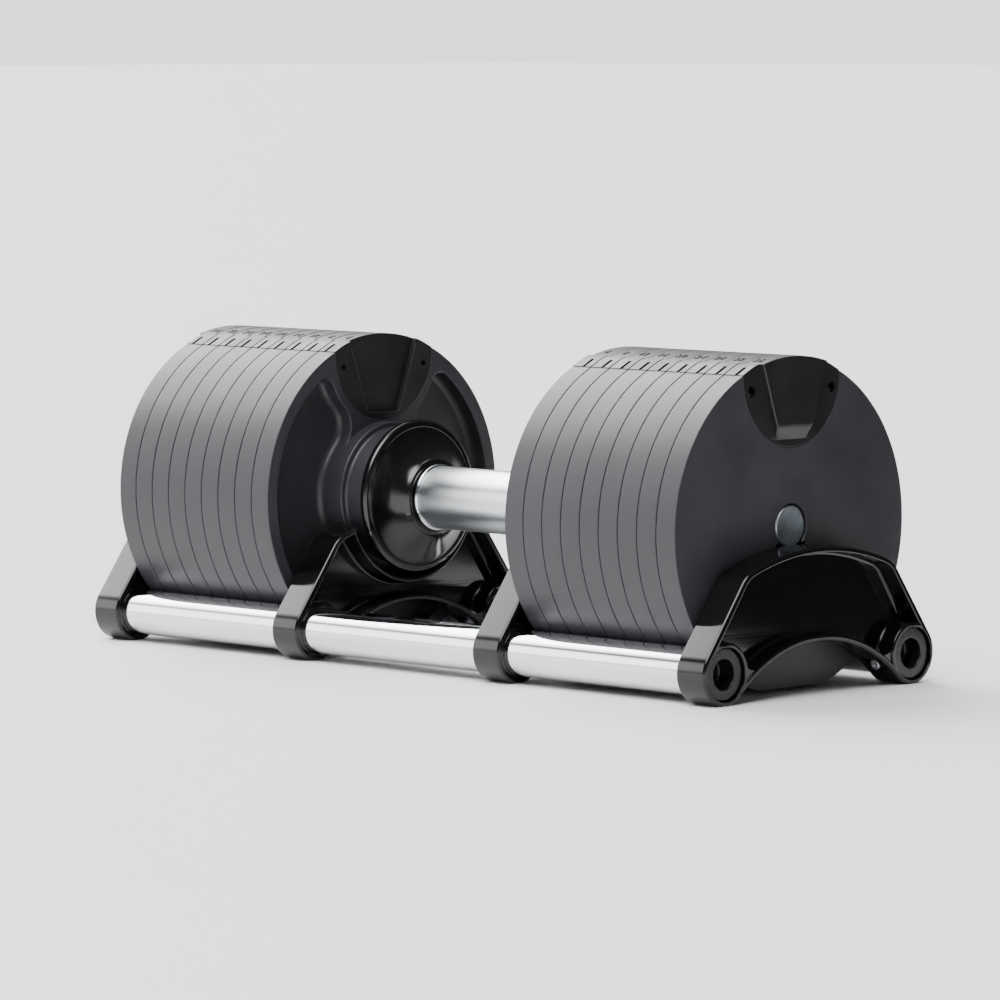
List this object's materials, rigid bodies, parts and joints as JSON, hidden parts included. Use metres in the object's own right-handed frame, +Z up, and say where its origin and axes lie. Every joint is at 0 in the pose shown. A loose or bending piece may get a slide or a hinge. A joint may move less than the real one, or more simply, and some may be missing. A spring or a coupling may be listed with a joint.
{
  "type": "adjustable dumbbell",
  "caption": "Twist-to-select adjustable dumbbell with round plates and keystone locks, resting in its own cradle of chrome tubes and arches.",
  "frame": {"origin": "on the floor under the middle of the handle, at the bottom centre of the whole box", "axes": "+X along the handle, +Y across the two cradle tubes, +Z up"},
  "size_m": [0.4698, 0.177, 0.1745],
  "materials": {
    "tube_chrome": "polished chrome plate",
    "arch_gloss": "gloss black paint on cast metal",
    "plug_plastic": "moulded black plastic",
    "screw_zinc": "bright zinc",
    "plate_coat": "satin charcoal powder coat",
    "flange_gloss": "gloss black moulding",
    "core_steel": "machined steel",
    "screw_black": "black oxide",
    "brass_part": "machined brass",
    "pin_steel": "hardened steel",
    "bush_bronze": "sintered bronze",
    "grip_chrome": "satin chrome",
    "collar_chrome": "polished chrome",
    "rod_zinc": "blue-grey zinc plate",
    "keystone_plastic": "black glass-filled nylon"
  },
  "bodies": {
    "cradle": {"cradle_tube_front": "tube_chrome", "cradle_tube_rear": "tube_chrome", "outer_arch_left": "arch_gloss", "outer_arch_right": "arch_gloss", "inner_arch_left": "arch_gloss", "inner_arch_right": "arch_gloss", "tube_end_plugs": "plug_plastic", "arch_set_screws": "screw_zinc"},
    "dumbbell": {"hub_plate_left": "plate_coat", "hub_plate_right": "plate_coat", "flange_left": "flange_gloss", "flange_right": "flange_gloss", "core_tube": "core_steel", "hub_screws": "screw_black", "detent_plunger": "brass_part", "detent_ball": "pin_steel", "grip_bush_left": "bush_bronze", "grip_bush_right": "bush_bronze", "plate_left_1": "plate_coat", "plate_left_2": "plate_coat", "plate_left_3": "plate_coat", "plate_left_4": "plate_coat", "plate_left_5": "plate_coat", "plate_left_6": "plate_coat", "plate_left_7": "plate_coat", "plate_left_8": "plate_coat", "plate_right_1": "plate_coat", "plate_right_2": "plate_coat", "plate_right_3": "plate_coat", "plate_right_4": "plate_coat", "plate_right_5": "plate_coat", "plate_right_6": "plate_coat", "plate_right_7": "plate_coat", "plate_right_8": "plate_coat", "keystone_outer_left": "keystone_plastic", "keystone_outer_right": "keystone_plastic", "keystone_inner_left": "keystone_plastic", "keystone_inner_right": "keystone_plastic", "keystone_screws": "screw_black"},
    "grip": {"grip_sleeve": "grip_chrome", "grip_collar_left": "collar_chrome", "grip_collar_right": "collar_chrome", "cam_tube": "core_steel"},
    "rod_left": {"selector_rod_left": "rod_zinc", "follower_pin_left": "pin_steel"},
    "rod_right": {"selector_rod_right": "rod_zinc", "follower_pin_right": "pin_steel"}
  },
  "joints": [
    {"name": "lift", "type": "slide", "parent": "cradle", "child": "dumbbell", "axis": [0, 0, 1], "range_m": [0, 0.2]},
    {"name": "grip_twist", "type": "hinge", "parent": "dumbbell", "child": "grip", "pos_m": [0, 0, 0.08603], "axis": [1, 0, 0], "range_deg": [0, 144.3]},
    {"name": "rod_right_slide", "type": "slide", "parent": "dumbbell", "child": "rod_right", "axis": [-1, 0, 0], "range_m": [0, 0.1088]},
    {"name": "rod_left_slide", "type": "slide", "parent": "dumbbell", "child": "rod_left", "axis": [1, 0, 0], "range_m": [0, 0.109]}
  ],
  "couplings": [
    {"joint": "grip_twist", "follows": "rod_right_slide", "rad_per_m": 23.1},
    {"joint": "rod_left_slide", "follows": "rod_right_slide", "ratio": 1}
  ]
}
